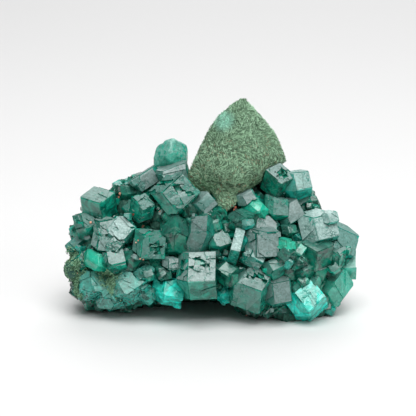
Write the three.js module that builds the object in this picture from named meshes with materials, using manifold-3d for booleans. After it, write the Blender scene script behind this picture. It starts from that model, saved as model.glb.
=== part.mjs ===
// Dioptase specimen: a heap of emerald-green dioptase crystals grown on a lump of rock, with one large
// calcite crystal, coated in fine green needles, standing up out of the top of the heap.
// Millimetres, +Z up, X along the width, the crystal-covered front faces -Y.
// Every crystal is its own solid, cut where a neighbour grew first, and the rock fills the space behind.

import * as THREE from 'three';
import { ConvexGeometry } from 'three/addons/geometries/ConvexGeometry.js';
import { mergeVertices } from 'three/addons/utils/BufferGeometryUtils.js';
import Module from 'manifold-3d';

const wasm = await Module();
wasm.setup();

// ---------------------------------------------------------------- driving dimensions

const GAP = 0.3;                 // clearance between neighbouring solids
const FLOOR = -1.4;              // height of the plane that the specimen stands on
const ROCK_SWELL = 1.2;          // height of the swellings on the rock
const ROCK_DETAIL = 3;           // subdivisions of each lump's icosahedron, which set its fracture faces
const DRUSE_HALF = 2.3;          // size of the small crystals that crust the rock
const DRUSE_COUNT = 70;
const DRUSE_HEART = new THREE.Vector3(0, 8, 10);     // the crust spreads over the rock, seen from here
const BENCH_SIZE = 200;          // size of the block that trims everything flat at the underside
const RHOMB_TILT = THREE.MathUtils.degToRad(50.96);  // dioptase (02-21) faces from the long axis
const MALFORM = 0.1;             // how unevenly a crystal's faces have grown, as a share of their distance

// The rock is a heap of lumps: its body behind the crystals, a foot under either end, a chest between
// them, then a ridge and two shoulders that carry the crystals along the top. up and down are the
// reaches above and below the middle, and lean is how far the crown goes back for each millimetre up.
const ROCK_LUMPS = [
  { middle: [1.5, 9, 11], reach: [29, 8.5], up: 19, down: 17, lean: 0 },
  { middle: [-21, -2, 9.5], reach: [12.6, 7.5], up: 8.5, down: 12, lean: -0.3 },
  { middle: [18.5, -3.5, 7], reach: [12, 8.5], up: 13, down: 10, lean: 0.15 },
  { middle: [0, 0, 15], reach: [21, 8.5], up: 12, down: 10, lean: 0.3 },
  { middle: [-12, 3.5, 23], reach: [13, 6], up: 7.5, down: 12, lean: 0 },
  { middle: [-24, 3, 16.5], reach: [8.5, 6], up: 7, down: 9, lean: 0 },
  { middle: [17.5, 4, 18], reach: [8.5, 6.5], up: 8.5, down: 9, lean: 0 },
];

// The three upper rhombohedron faces of a dioptase crystal are within 6 degrees of a cube's corner, so
// a crystal is placed as a block: one face up, one to the front and one to the right, with the long
// axis through the corner between them. pose is [yaw, pitch, roll] in degrees: yaw turns the block about
// Z, pitch tips its top face to the front and roll tilts it to the right. half is the distance from its
// centre to those faces, waist the distance to the prism faces as a share of half, and slab the distance
// to the right-hand and left-hand faces as a share of half.
const BLOCK_FACES = [
  new THREE.Vector3(0, 0, 1),
  new THREE.Vector3(0, -1, 0),
  new THREE.Vector3(1, 0, 0),
];

// Corners of the coated calcite crystal: blunt apex, broad front, steep flanks, undercut below.
const CALCITE = [
  [8.2, 2.2, 52.0], [9.0, 4.6, 51.2],
  [3.0, 1.4, 48.1], [0.2, 1.2, 44.1], [-2.7, 0.6, 38.5], [-5.2, 0.2, 32.6], [-5.2, 0.6, 30.3],
  [-4.0, -1.4, 29.2], [1.2, -3.6, 28.8], [9.1, -4.6, 29.8], [13.4, -2.4, 34.4],
  [4.0, -4.9, 34.8], [11.4, -4.4, 35.6], [6.4, -1.9, 43.2],
  [19.8, 4.0, 35.5], [18.2, 3.6, 39.9], [16.0, 3.6, 44.0], [13.4, 3.4, 46.8], [10.9, 3.0, 49.6],
  [1.4, 8.6, 42.0], [-3.0, 8.2, 33.0], [14.0, 11.0, 42.0], [17.0, 11.4, 34.0],
  [0.0, 8.0, 28.6], [12.4, 10.0, 28.6], [8.4, 7.6, 49.0],
];

// Corners of its toe, which hangs down in front between the dioptase crystals.
const TOE = [
  [1.2, -4.4, 30.0], [2.0, -5.8, 26.4], [3.4, -6.6, 25.1], [5.6, -6.6, 25.6], [7.8, -5.8, 27.4],
  [9.4, -4.6, 30.4], [2.0, -2.0, 31.0], [8.6, -2.0, 31.4], [3.2, -2.2, 26.6], [6.2, -2.2, 27.0],
];

const LEFT = [
  { at: [-27.4, -1.0, 25.3], half: 3.7, waist: 1.05, pose: [-35, 16, -4] },
  { at: [-16.2, -5.0, 25.8], half: 3.1, waist: 0.92, pose: [-50, 22, 10] },
  { at: [-29.0, -3.0, 20.4], half: 3.3, waist: 1.05, pose: [15, 30, -4] },
  { at: [-25.6, -6.0, 20.8], half: 2.3, waist: 1.05, pose: [20, 55, 10] },
  { at: [-21.4, -6.8, 20.0], half: 3.0, waist: 1.05, pose: [35, 52, -15] },
  { at: [-26.2, -8.2, 17.6], half: 2.1, waist: 1.05, pose: [10, 60, 20] },
  { at: [-23.0, -9.4, 17.2], half: 2.0, waist: 1.05, pose: [50, 55, 0] },
  { at: [-14.5, -9.2, 17.3], half: 3.7, waist: 1.05, pose: [15, 66, 20] },
  { at: [-27.3, -9.8, 13.8], half: 2.5, waist: 0.9, pose: [30, 44, 38] },
  { at: [-22.8, -10.6, 13.9], half: 2.5, waist: 1.05, pose: [10, 40, -6] },
  { at: [-18.3, -10.8, 14.3], half: 2.4, waist: 1.0, pose: [30, 20, 10] },
  { at: [-32.7, -3.5, 15.2], half: 1.8, waist: 1.05, pose: [30, 30, -20] },
  { at: [-30.4, -7.0, 12.6], half: 2.1, waist: 1.0, pose: [50, 45, -10] },
];

const RIDGE = [
  { at: [-8.3, -3.6, 28.3], half: 4.2, waist: 1.1, pose: [45, 62, 4] },
  { at: [-1.2, -4.4, 26.3], half: 2.6, waist: 1.1, pose: [38, 66, -4] },
  { at: [-9.2, 6.4, 35.6], half: 3.2, waist: 1.12, pose: [-52, -52, 4] },
  { at: [-15.6, 1.6, 31.2], half: 3.4, waist: 1.0, slab: 0.55, pose: [-8, 60, 50] },
  { at: [-9.2, 1.8, 32.2], half: 4.0, waist: 1.0, slab: 0.6, pose: [10, 56, 84] },
  { at: [-20.2, -0.4, 28.2], half: 1.9, waist: 1.0, pose: [30, 30, 20] },
  { at: [22.0, -0.6, 30.4], half: 3.1, waist: 1.05, pose: [20, 44, 10] },
  { at: [17.3, 0.2, 31.2], half: 3.6, waist: 1.0, pose: [-38, 26, 16] },
  { at: [9.4, -4.0, 27.8], half: 2.0, waist: 1.0, pose: [30, 60, 0] },
];

const CENTRE = [
  { at: [-2.2, -12.6, 10.9], half: 4.5, waist: 1.15, pose: [0, 38, -2] },
  { at: [-8.3, -8.4, 18.8], half: 4.1, waist: 0.82, pose: [-45, -48, 2] },
  { at: [-1.9, -9.2, 19.8], half: 3.8, waist: 0.8, pose: [-30, -36, 6] },
  { at: [2.4, -9.8, 18.3], half: 2.6, waist: 0.98, pose: [30, 40, 10] },
  { at: [6.8, -9.6, 17.5], half: 4.6, waist: 1.0, slab: 0.26, pose: [0, 40, 15] },
  { at: [4.4, -12.0, 11.7], half: 3.1, waist: 0.85, pose: [-38, 36, 2] },
  { at: [8.4, -7.0, 22.2], half: 3.0, waist: 1.0, pose: [40, 12, 0] },
  { at: [-9.3, -12.0, 13.3], half: 1.7, waist: 1.0, pose: [20, 50, 20] },
  { at: [-10.8, -12.4, 11.2], half: 1.9, waist: 1.0, pose: [0, 60, -10] },
];

const RIGHT = [
  { at: [10.9, -13.0, 7.4], half: 4.1, waist: 1.15, pose: [-22, 26, 5] },
  { at: [16.9, -12.4, 6.9], half: 3.4, waist: 1.0, pose: [4, 68, -5] },
  { at: [13.0, -9.0, 17.5], half: 3.7, waist: 1.05, pose: [20, 58, 20] },
  { at: [11.2, -11.8, 15.2], half: 2.4, waist: 1.05, pose: [0, 35, 30] },
  { at: [18.6, -10.6, 17.3], half: 2.1, waist: 0.95, pose: [30, 40, 30] },
  { at: [13.3, -6.6, 21.5], half: 2.0, waist: 1.3, slab: 1.7, pose: [0, 54, 4] },
  { at: [11.8, -5.4, 25.2], half: 2.4, waist: 0.9, pose: [20, 30, 60] },
  { at: [16.5, -3.2, 25.2], half: 2.7, waist: 1.05, pose: [20, 50, 25] },
  { at: [20.0, -2.8, 23.6], half: 3.1, waist: 1.05, pose: [30, 62, 0] },
  { at: [22.0, 1.2, 26.0], half: 3.1, waist: 1.05, pose: [10, 50, -20] },
  { at: [26.3, -4.2, 20.0], half: 4.3, waist: 1.05, pose: [30, 52, 18] },
  { at: [31.6, -1.4, 16.4], half: 4.0, waist: 1.05, pose: [20, 46, 44] },
  { at: [26.4, -8.4, 15.0], half: 3.4, waist: 1.15, pose: [-45, 14, 5] },
  { at: [30.8, -5.8, 13.4], half: 2.8, waist: 1.1, pose: [-30, 15, 5] },
  { at: [33.2, -2.4, 10.4], half: 3.3, waist: 1.15, pose: [0, 38, 0] },
  { at: [30.8, -5.8, 6.0], half: 3.4, waist: 1.1, pose: [45, 16, -25] },
  { at: [23.4, -10.4, 3.6], half: 4.1, waist: 1.0, pose: [30, 50, -10] },
  { at: [16.0, -12.4, 12.2], half: 2.5, waist: 1.05, pose: [20, 35, -10] },
  { at: [19.3, -12.0, 11.6], half: 2.3, waist: 0.8, pose: [-45, -40, -10] },
  { at: [22.9, -11.0, 11.4], half: 2.3, waist: 1.0, pose: [30, 30, 0] },
];

const FOOT = [
  { at: [-15.8, -11.6, 10.6], half: 2.1, waist: 1.0, pose: [40, 30, 0] },
  { at: [-9.9, -11.0, 7.2], half: 3.3, waist: 1.0, pose: [10, 50, 20] },
  { at: [-28.6, -7.8, 6.9], half: 3.3, waist: 1.05, pose: [30, 45, 26] },
  { at: [-19.2, -10.2, 7.4], half: 3.7, waist: 1.05, pose: [20, 46, -15] },
  { at: [-23.8, -9.6, 4.4], half: 2.8, waist: 1.0, pose: [40, 30, 30] },
  { at: [-15.0, -11.0, 5.6], half: 2.2, waist: 1.0, pose: [50, 40, -20] },
  { at: [4.0, -10.8, 5.6], half: 2.0, waist: 1.0, pose: [10, 60, 50] },
];

// ---------------------------------------------------------------- half-spaces and solids

/** The point on three faces, or null where they are parallel. */
function meetingPoint(a, b, c) {
  const bc = new THREE.Vector3().crossVectors(b.normal, c.normal);
  const volume = a.normal.dot(bc);
  if (Math.abs(volume) < 1e-5) return null;
  const ca = new THREE.Vector3().crossVectors(c.normal, a.normal);
  const ab = new THREE.Vector3().crossVectors(a.normal, b.normal);
  return bc.multiplyScalar(a.distance)
    .addScaledVector(ca, b.distance)
    .addScaledVector(ab, c.distance)
    .divideScalar(volume);
}

/** The corners of the space behind a set of faces, each face { normal, distance } from the origin. */
function cornersOf(faces) {
  const corners = [];
  for (let i = 0; i < faces.length; i += 1) {
    for (let j = i + 1; j < faces.length; j += 1) {
      for (let k = j + 1; k < faces.length; k += 1) {
        const corner = meetingPoint(faces[i], faces[j], faces[k]);
        if (corner && faces.every((face) => face.normal.dot(corner) <= face.distance + 1e-6)) {
          corners.push(corner);
        }
      }
    }
  }
  return corners;
}

/** The faces of the convex solid round a set of [x, y, z] corners. */
function facesAround(corners) {
  const hull = new ConvexGeometry(corners.map((corner) => new THREE.Vector3(...corner)));
  const places = hull.attributes.position;
  const faces = [];
  for (let i = 0; i < places.count; i += 3) {
    const [a, b, c] = [0, 1, 2].map((k) => new THREE.Vector3().fromBufferAttribute(places, i + k));
    const normal = new THREE.Vector3().crossVectors(b.clone().sub(a), c.sub(a));
    if (normal.length() < 1e-6) continue;
    normal.normalize();
    const distance = normal.dot(a);
    if (!faces.some((face) => face.normal.dot(normal) > 1 - 1e-7 && Math.abs(face.distance - distance) < 1e-4)) {
      faces.push({ normal, distance });
    }
  }
  return faces;
}

/** The same faces, each moved out by a margin. */
function grown(faces, margin) {
  return faces.map(({ normal, distance }) => ({ normal, distance: distance + margin }));
}

/** A closed three.js geometry as a solid that can be cut and joined. */
function solidOf(geometry) {
  const bare = geometry.clone();
  bare.deleteAttribute('normal');
  bare.deleteAttribute('uv');
  const merged = mergeVertices(bare, 1e-4);
  return new wasm.Manifold(new wasm.Mesh({
    numProp: 3,
    vertProperties: new Float32Array(merged.attributes.position.array),
    triVerts: new Uint32Array(merged.index.array),
  }));
}

/** The convex solid behind a set of faces. */
function solidBehind(faces) {
  return solidOf(new ConvexGeometry(cornersOf(faces)));
}

/** A solid's biggest piece as a three.js geometry, without the crumbs and slivers that a cut leaves. */
function geometryOf(solid) {
  const biggest = solid.decompose().reduce((a, b) => (a.volume() > b.volume() ? a : b));
  const { vertProperties, triVerts } = biggest.asOriginal().simplify(1e-3).getMesh();
  const geometry = new THREE.BufferGeometry();
  geometry.setAttribute('position', new THREE.BufferAttribute(new Float32Array(vertProperties), 3));
  geometry.setIndex(new THREE.BufferAttribute(new Uint32Array(triVerts), 1));
  geometry.computeVertexNormals();
  return geometry;
}

/** A repeatable sequence of numbers from -1 to 1, so that no two crystals are alike. */
function unevenness(seed) {
  let state = (seed * 9301 + 49297) % 233280;
  return () => {
    state = (state * 9301 + 49297) % 233280;
    return (state / 233280) * 2 - 1;
  };
}

// ---------------------------------------------------------------- fitting pieces together

const settled = [];   // pieces in place so far, each { matrix, faces, reach }

/** The block below the plane that the specimen stands on. */
function bench() {
  const geometry = new THREE.BoxGeometry(BENCH_SIZE, BENCH_SIZE, BENCH_SIZE);
  geometry.translate(0, 0, FLOOR - BENCH_SIZE / 2);
  return solidOf(geometry);
}

const underside = bench();

/** Joins convex parts into one piece and cuts it back from its neighbours and from the bench. */
function fitted(parts, matrix) {
  const reach = Math.max(...parts.flatMap(cornersOf).map((corner) => corner.length()));
  const inverse = matrix.clone().invert();
  const centre = new THREE.Vector3().setFromMatrixPosition(matrix);
  let solid = parts.map(solidBehind).reduce((a, b) => a.add(b));
  for (const other of settled) {
    const away = new THREE.Vector3().setFromMatrixPosition(other.matrix).distanceTo(centre);
    if (away < reach + other.reach + 2 * GAP) {
      const toMine = new THREE.Matrix4().multiplyMatrices(inverse, other.matrix);
      solid = solid.subtract(solidBehind(grown(other.faces, GAP)).transform(toMine.elements));
    }
  }
  solid = solid.subtract(underside.transform(inverse.elements));
  parts.forEach((faces) => settled.push({ matrix: matrix.clone(), faces, reach }));
  return geometryOf(solid);
}

// ---------------------------------------------------------------- dioptase crystals

const dioptaseColour = new THREE.MeshStandardMaterial({ color: 0x0b5a4a, roughness: 0.16, metalness: 0 });

/** A dioptase crystal's faces about its own centre: six of the rhombohedron and six of the prism. */
function dioptaseFaces(half, waist, slab, seed) {
  const uneven = unevenness(seed);
  const longAxis = new THREE.Vector3(1, -1, 1).normalize();
  const faces = [];
  const addPair = (normal, distance) => {
    faces.push({ normal, distance: distance * (1 + MALFORM * uneven()) });
    faces.push({ normal: normal.clone().negate(), distance: distance * (1 + MALFORM * uneven()) });
  };
  BLOCK_FACES.forEach((side, i) => {
    const across = side.clone().projectOnPlane(longAxis).normalize();
    const rhomb = longAxis.clone().multiplyScalar(Math.cos(RHOMB_TILT)).addScaledVector(across, Math.sin(RHOMB_TILT));
    addPair(rhomb, i === 2 ? half * slab : half);
  });
  BLOCK_FACES.forEach((side, i) => {
    const next = BLOCK_FACES[(i + 1) % BLOCK_FACES.length];
    addPair(new THREE.Vector3().subVectors(side, next).normalize(), half * waist);
  });
  return faces;
}

/** One dioptase crystal as a placed mesh. */
function dioptase(name, { at, half, waist, slab = 1, pose }, seed) {
  const [yaw, pitch, roll] = pose.map(THREE.MathUtils.degToRad);
  const mesh = new THREE.Mesh(new THREE.BufferGeometry(), dioptaseColour);
  mesh.name = name;
  mesh.position.fromArray(at);
  mesh.rotation.set(pitch, roll, yaw, 'YXZ');
  mesh.updateMatrix();
  mesh.geometry = fitted([dioptaseFaces(half, waist, slab, seed)], mesh.matrix);
  return mesh;
}

/** One region's crystals as a group, named by region and number. */
function cluster(region, crystals, firstSeed) {
  const group = new THREE.Group();
  group.name = `cluster_${region}`;
  crystals.forEach((crystal, i) => {
    group.add(dioptase(`dioptase_${region}_${String(i + 1).padStart(2, '0')}`, crystal, firstSeed + i));
  });
  return group;
}

// ---------------------------------------------------------------- the coated calcite crystal

const needleColour = new THREE.MeshStandardMaterial({ color: 0x6f9a78, roughness: 0.85, metalness: 0 });

/** The coated calcite crystal, its toe joined on. */
function coatedCalcite() {
  const mesh = new THREE.Mesh(new THREE.BufferGeometry(), needleColour);
  mesh.name = 'coated_calcite';
  mesh.geometry = fitted([facesAround(CALCITE), facesAround(TOE)], mesh.matrix);
  return mesh;
}

// ---------------------------------------------------------------- the rock

const rockColour = new THREE.MeshStandardMaterial({ color: 0x35564a, roughness: 0.8, metalness: 0 });

/** One rounded lump of rock, its surface swelling and dipping. */
function lump({ middle, reach, up, down, lean }) {
  const geometry = new THREE.IcosahedronGeometry(1, ROCK_DETAIL);
  const places = geometry.attributes.position;
  const point = new THREE.Vector3();
  for (let i = 0; i < places.count; i += 1) {
    point.fromBufferAttribute(places, i);
    const waves = Math.sin(5.1 * point.x + 1.3) * Math.cos(4.3 * point.z - 0.6)
      + Math.sin(6.7 * point.y + 3.9 * point.x) + 0.8 * Math.sin(11.3 * point.x - 9.1 * point.z);
    const swell = 1 + (ROCK_SWELL / reach[0]) * waves;
    const rise = point.z * (point.z > 0 ? up : down) * swell;
    places.setXYZ(
      i,
      middle[0] + reach[0] * point.x * swell,
      middle[1] + reach[1] * point.y * swell + lean * rise,
      middle[2] + rise,
    );
  }
  return solidOf(geometry);
}

/** Small crystals that have grown into one another over the front, the ends and the crown of the rock. */
function druse(rock) {
  const skin = new THREE.Mesh(geometryOf(rock), new THREE.MeshStandardMaterial({ side: THREE.DoubleSide }));
  const uneven = unevenness(7);
  const crystals = [];
  for (let i = 0; i < DRUSE_COUNT; i += 1) {
    const height = -0.15 + (1.05 * (i + 0.5)) / DRUSE_COUNT;
    const turn = i * Math.PI * (3 - Math.sqrt(5));
    const ring = Math.sqrt(1 - height * height);
    const outward = new THREE.Vector3(Math.cos(turn) * ring, -Math.abs(Math.sin(turn)) * ring, height);
    const hits = new THREE.Raycaster(DRUSE_HEART, outward).intersectObject(skin);
    const matrix = new THREE.Matrix4().makeRotationFromEuler(new THREE.Euler(uneven() * 3, uneven() * 3, uneven() * 3));
    matrix.setPosition(hits[hits.length - 1].point);
    const faces = dioptaseFaces(DRUSE_HALF * (1 + 0.35 * uneven()), 1, 1, 200 + i);
    crystals.push(solidBehind(faces).transform(matrix.elements));
  }
  return crystals;
}

/** The rock and its crust of small crystals, pocketed round every piece and flat underneath. */
function matrixRock() {
  const mesh = new THREE.Mesh(new THREE.BufferGeometry(), rockColour);
  mesh.name = 'matrix_rock';
  const heap = wasm.Manifold.union(ROCK_LUMPS.map(lump));
  let rock = wasm.Manifold.union([heap, ...druse(heap)]).subtract(underside);
  for (const { matrix, faces } of settled) {
    rock = rock.subtract(solidBehind(grown(faces, GAP)).transform(matrix.elements));
  }
  mesh.geometry = geometryOf(rock);
  return mesh;
}

// ---------------------------------------------------------------- assembly

const specimen = new THREE.Group();
specimen.add(
  cluster('centre', CENTRE, 1),
  cluster('right', RIGHT, 31),
  cluster('left', LEFT, 61),
  cluster('ridge', RIDGE, 91),
  cluster('foot', FOOT, 121),
  coatedCalcite(),
  matrixRock(),
);

// The origin is the middle of the bounding box, on the plane that the specimen stands on.
const box = new THREE.Box3().setFromObject(specimen, true);
specimen.position.set(-(box.min.x + box.max.x) / 2, -(box.min.y + box.max.y) / 2, -box.min.z);

const part = new THREE.Group();
part.add(specimen);

export default part;
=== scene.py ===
"""Dioptase specimen: emerald crystals heaped on rock, with a needle-coated calcite crystal standing on top.

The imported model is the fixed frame. Every crystal node is copied, stepped, bevelled and dressed, and the
copy stands for it. The rock and the coated crystal get rough skins made from their nodes, and small
crystals, needles and rusty specks are strewn over them. All sizes are in metres.
"""

import logging
import math
import random
from contextlib import contextmanager
from dataclasses import dataclass, field, replace
from enum import Enum
from typing import Callable, Iterator, Sequence, Union

import bmesh
import bpy
import numpy as np
from mathutils import Matrix, Vector
from mathutils.bvhtree import BVHTree


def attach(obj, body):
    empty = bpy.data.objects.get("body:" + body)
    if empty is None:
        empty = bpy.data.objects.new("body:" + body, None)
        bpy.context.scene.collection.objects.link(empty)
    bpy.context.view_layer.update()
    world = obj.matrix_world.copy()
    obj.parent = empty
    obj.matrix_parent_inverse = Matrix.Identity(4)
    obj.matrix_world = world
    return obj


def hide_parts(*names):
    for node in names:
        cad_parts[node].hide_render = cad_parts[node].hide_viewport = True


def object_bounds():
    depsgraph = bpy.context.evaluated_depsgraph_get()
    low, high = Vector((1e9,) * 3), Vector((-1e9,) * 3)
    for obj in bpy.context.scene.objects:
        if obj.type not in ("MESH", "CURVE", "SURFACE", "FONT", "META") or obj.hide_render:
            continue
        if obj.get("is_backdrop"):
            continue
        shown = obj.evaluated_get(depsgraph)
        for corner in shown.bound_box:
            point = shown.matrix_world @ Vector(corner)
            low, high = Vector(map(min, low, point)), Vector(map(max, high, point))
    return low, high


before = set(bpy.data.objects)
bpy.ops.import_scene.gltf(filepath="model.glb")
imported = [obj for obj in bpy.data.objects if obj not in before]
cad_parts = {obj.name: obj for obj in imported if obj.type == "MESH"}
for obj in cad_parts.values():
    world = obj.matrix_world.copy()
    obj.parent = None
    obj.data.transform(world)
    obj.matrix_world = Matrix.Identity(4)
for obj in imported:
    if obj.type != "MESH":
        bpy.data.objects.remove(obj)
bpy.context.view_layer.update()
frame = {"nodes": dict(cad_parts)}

logging.basicConfig(level=logging.INFO, format="%(message)s")
log = logging.getLogger("specimen")

MM = 0.001
BODY = "root"
Colour = tuple[float, float, float]
SHARP = 20.0  # degrees: a crystal's edges are sharper than this
GOLDEN = 0.618  # the step that spreads the views' heights evenly
BLUSH_AT = (3.2 * MM, 1.0 * MM, 48.0 * MM)
CAMERA_TARGET = (-0.68 * MM, 0.61 * MM, 25.8 * MM)

# Where needle felt grows low on the left of the heap: centres and reaches.
FELT_PATCHES = (
    ((-34.5 * MM, -5.5 * MM, 12.5 * MM), 5.2 * MM),
    ((-32.5 * MM, -6.5 * MM, 7.5 * MM), 3.6 * MM),
    ((-24.8 * MM, -9.5 * MM, 11.0 * MM), 3.8 * MM),
    ((-23.0 * MM, -10.0 * MM, 7.5 * MM), 2.6 * MM),
)


# ---------------------------------------------------------------------------- shader maths


class Wire:
    """One shader value: an output socket whose arithmetic adds Math nodes."""

    def __init__(self, bench: "Bench", socket: bpy.types.NodeSocket) -> None:
        """Wrap an output socket.

        Args:
            bench: The bench whose node tree holds the socket.
            socket: The output socket.
        """
        self.bench = bench
        self.socket = socket

    def _math(self, operation: str, first: "Value", second: "Value") -> "Wire":
        """Add a Math node and return its result."""
        node = self.bench.node("ShaderNodeMath", {"operation": operation}, {0: first, 1: second})
        return Wire(self.bench, node.outputs[0])

    def __add__(self, other: "Value") -> "Wire":
        """Return self + other."""
        return self._math("ADD", self, other)

    __radd__ = __add__

    def __sub__(self, other: "Value") -> "Wire":
        """Return self - other."""
        return self._math("SUBTRACT", self, other)

    def __rsub__(self, other: "Value") -> "Wire":
        """Return other - self."""
        return self._math("SUBTRACT", other, self)

    def __mul__(self, other: "Value") -> "Wire":
        """Return self * other."""
        return self._math("MULTIPLY", self, other)

    __rmul__ = __mul__

    def __abs__(self) -> "Wire":
        """Return the value without its sign."""
        return self._math("ABSOLUTE", self, 0.0)

    def smaller_of(self, other: "Value") -> "Wire":
        """Return the smaller of the two values."""
        return self._math("MINIMUM", self, other)

    def larger_of(self, other: "Value") -> "Wire":
        """Return the larger of the two values."""
        return self._math("MAXIMUM", self, other)

    def between(self, low: float, high: float) -> "Wire":
        """Return a smooth 0 to 1 rise as the value goes from low to high."""
        node = self.bench.node(
            "ShaderNodeMapRange",
            {"interpolation_type": "SMOOTHSTEP", "clamp": True},
            {"Value": self, "From Min": low, "From Max": high},
        )
        return Wire(self.bench, node.outputs["Result"])


Value = Union[Wire, float]
Input = Union[Wire, bpy.types.NodeSocket, float, Sequence[float]]


class Bench:
    """Builds one material's nodes."""

    def __init__(self, name: str) -> None:
        """Start an empty material.

        Args:
            name: The material's name.
        """
        self.material = bpy.data.materials.new(name)
        self.material.use_nodes = True
        self.tree = self.material.node_tree
        self.tree.nodes.clear()
        self.place = self.node("ShaderNodeTexCoord", {}, {}).outputs["Object"]

    def node(self, kind: str, settings: dict[str, object],
             inputs: dict[Union[str, int], Input]) -> bpy.types.Node:
        """Add a node.

        Args:
            kind: The node's type.
            settings: Its properties, set first.
            inputs: Values or links for its sockets, by name or number.

        Returns:
            The node.
        """
        node = self.tree.nodes.new(kind)
        for key, value in settings.items():
            setattr(node, key, value)
        for key, value in inputs.items():
            socket = node.inputs[key]
            if isinstance(value, Wire):
                self.tree.links.new(value.socket, socket)
            elif isinstance(value, bpy.types.NodeSocket):
                self.tree.links.new(value, socket)
            elif socket.type == "RGBA" and len(value) == 3:
                socket.default_value = (*value, 1.0)
            else:
                socket.default_value = value
        return node

    def attribute(self, name: str) -> Wire:
        """Return one of the mesh's own attributes."""
        node = self.node("ShaderNodeAttribute", {"attribute_name": name}, {})
        return Wire(self, node.outputs["Fac"])

    def part(self, axis: str) -> Wire:
        """Return one of the object coordinates."""
        return Wire(self, self.node("ShaderNodeSeparateXYZ", {}, {"Vector": self.place}).outputs[axis])

    def stretched(self, turn: Sequence[float], scale: Sequence[float]) -> bpy.types.NodeSocket:
        """Return the object coordinates, turned and scaled, for patterns that run one way."""
        node = self.node("ShaderNodeMapping", {}, {"Vector": self.place, "Rotation": turn, "Scale": scale})
        return node.outputs["Vector"]

    def noise(self, size: float, detail: float = 3.0, place: Input = None, warp: float = 0.0) -> Wire:
        """Return smooth noise.

        Args:
            size: The pattern's feature size in metres.
            detail: Octaves of finer detail.
            place: Coordinates, or None for the object's own.
            warp: How far the pattern is distorted.

        Returns:
            Noise about 0.5.
        """
        inputs = {"Vector": place or self.place, "Scale": 1.0 / size, "Detail": detail, "Distortion": warp}
        node = self.node("ShaderNodeTexNoise", {"noise_dimensions": "3D"}, inputs)
        return Wire(self, node.outputs[0])

    def cells(self, size: float, feature: str = "F1") -> Wire:
        """Return a cell pattern's distance, its cells about size metres across."""
        inputs = {"Vector": self.place, "Scale": 1.0 / size}
        node = self.node("ShaderNodeTexVoronoi", {"feature": feature}, inputs)
        return Wire(self, node.outputs["Distance"])

    def blend(self, factor: Value, first: Input, second: Input) -> bpy.types.NodeSocket:
        """Return two colours blended by a factor."""
        node = self.node("ShaderNodeMix", {"data_type": "RGBA"}, {"Factor": factor, 6: first, 7: second})
        return node.outputs[2]

    def bumped(self, height: Value, depth: float, under: Input = None) -> bpy.types.NodeSocket:
        """Return a normal bumped by a height pattern that is depth metres deep."""
        inputs = {"Height": height, "Distance": depth, "Strength": 1.0}
        if under is not None:
            inputs["Normal"] = under
        return self.node("ShaderNodeBump", {}, inputs).outputs["Normal"]

    def finish(self, inputs: dict[Union[str, int], Input]) -> bpy.types.Material:
        """Close the tree with a Principled shader and return the material."""
        shader = self.node("ShaderNodeBsdfPrincipled", {}, inputs)
        self.node("ShaderNodeOutputMaterial", {}, {"Surface": shader.outputs["BSDF"]})
        return self.material


# ---------------------------------------------------------------------------- finishes


@dataclass(frozen=True)
class EmeraldFinish:
    """Glassy dioptase: a dark clouded body, and a grey painted sheen, a painted reflection of the lamps,
    where the painted sheen attribute asks for it.
    """

    name: str
    deep: Colour
    bright: Colour
    film: Colour
    roughness: float = 0.08
    veiling: float = 0.25
    cloud_size: float = 3.5 * MM
    pit_size: float = 0.8 * MM

    def material(self) -> bpy.types.Material:
        """Build the material.

        Returns:
            The finished material.
        """
        bench = Bench(self.name)
        clouds = bench.noise(self.cloud_size, 4.0, warp=1.6)
        body = bench.blend(clouds.between(0.4, 0.64), self.deep, self.bright)
        # Healed fractures: thin pale sheets where two slow noises cross their middle value.
        sheet = abs(bench.noise(3.2 * MM, 2.0, warp=0.8) - 0.5)
        sheet2 = abs(bench.noise(2.0 * MM, 3.0, bench.stretched((0.5, 0.9, 0.3), (1.0, 2.6, 1.0))) - 0.5)
        fractures = 1.0 - sheet.smaller_of(sheet2).between(0.0, 0.012)
        body = bench.blend(fractures * self.veiling, body, self.film)
        # The painted sheen (the coat below): a grey painted reflection of the lamps, mottled, speckled, and
        # broken by small angular pits that show the body.
        film = bench.attribute("film")
        pitted = bench.noise(2.6 * MM, 3.0, warp=0.8).between(0.55, 0.62)
        pits = 1.0 - bench.cells(self.pit_size, "DISTANCE_TO_EDGE").between(0.02, 0.12)
        gone = pitted * pits * 0.8
        grain = bench.noise(0.5 * MM, 5.0)
        speckle = grain.between(0.4, 0.62)
        # Painted glints: small streaks lighter than the painted sheen, stronger where the sheen lies.
        streaked = bench.stretched((0.8, 0.1, 0.4), (1.0, 1.8, 1.0))
        glints = bench.noise(0.7 * MM, 3.0, streaked).between(0.6, 0.68)
        mottle = bench.noise(1.6 * MM, 4.0, warp=1.0).between(0.3, 0.7)
        red, green, blue = self.film
        coat = bench.blend(film.between(0.5, 0.95), (0.5 * red, 0.95 * green, 0.87 * blue), self.film)
        coat = bench.blend(speckle * 0.5 + mottle * 0.3, coat, (0.35 * red, 0.45 * green, 0.42 * blue))
        sheen_cover = film.smaller_of(1.0) * (1.0 - gone)
        body = bench.blend(sheen_cover, body, coat)
        glint = tuple(min(1.0, 1.8 * part) for part in self.film)
        body = bench.blend(glints * (0.12 + sheen_cover * 0.25), body, glint)
        rough = self.roughness + sheen_cover * 0.2 + grain * 0.08
        swell = bench.noise(2.4 * MM, 3.0, bench.stretched((0.2, 0.4, 0.9), (1.0, 1.0, 2.2)), warp=0.6)
        normal = bench.bumped(swell, 0.08 * MM)
        normal = bench.bumped(1.0 - gone, 0.12 * MM, normal)
        normal = bench.bumped(grain, 0.05 * MM, normal)
        return bench.finish({"Base Color": body, "Roughness": rough, "Normal": normal,
                             "IOR": 1.68, "Specular IOR Level": 0.5})


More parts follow.
